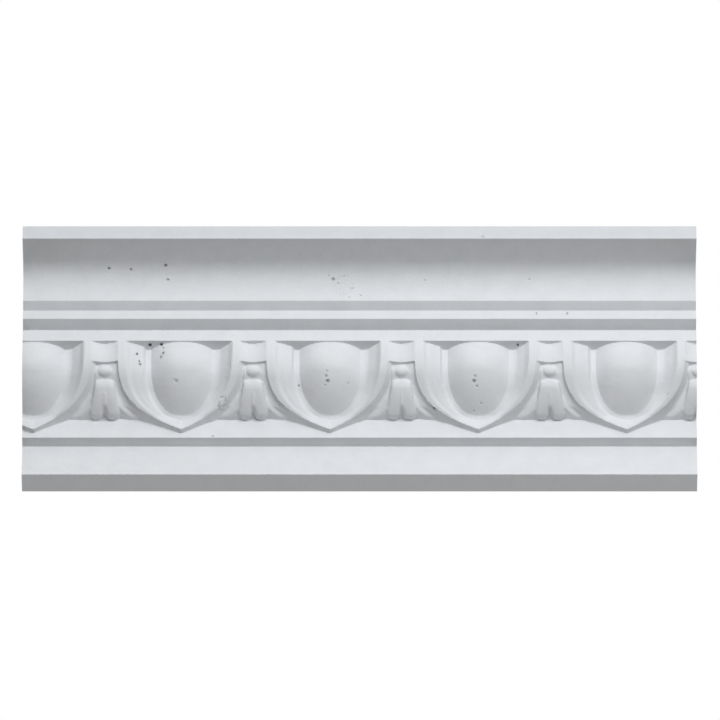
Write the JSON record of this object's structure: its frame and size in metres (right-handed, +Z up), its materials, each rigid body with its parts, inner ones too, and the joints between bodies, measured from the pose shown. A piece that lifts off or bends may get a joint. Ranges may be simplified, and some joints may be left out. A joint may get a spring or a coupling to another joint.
{
  "type": "egg-and-dart cornice moulding section",
  "caption": "Straight section of cast plaster cornice with a cove, two small beads, an egg-and-dart band and plain fascias, cut square at both ends.",
  "frame": {"origin": "centre of the flat face that beds on the wall, at mid length", "axes": "+X along the run, +Y into the wall, +Z up to the ceiling; the moulded face looks along -Y and down"},
  "size_m": [0.405, 0.1008, 0.1247],
  "materials": {
    "plaster": "matte"
  },
  "bodies": {
    "root": {"cornice_moulding": "plaster"}
  },
  "joints": []
}
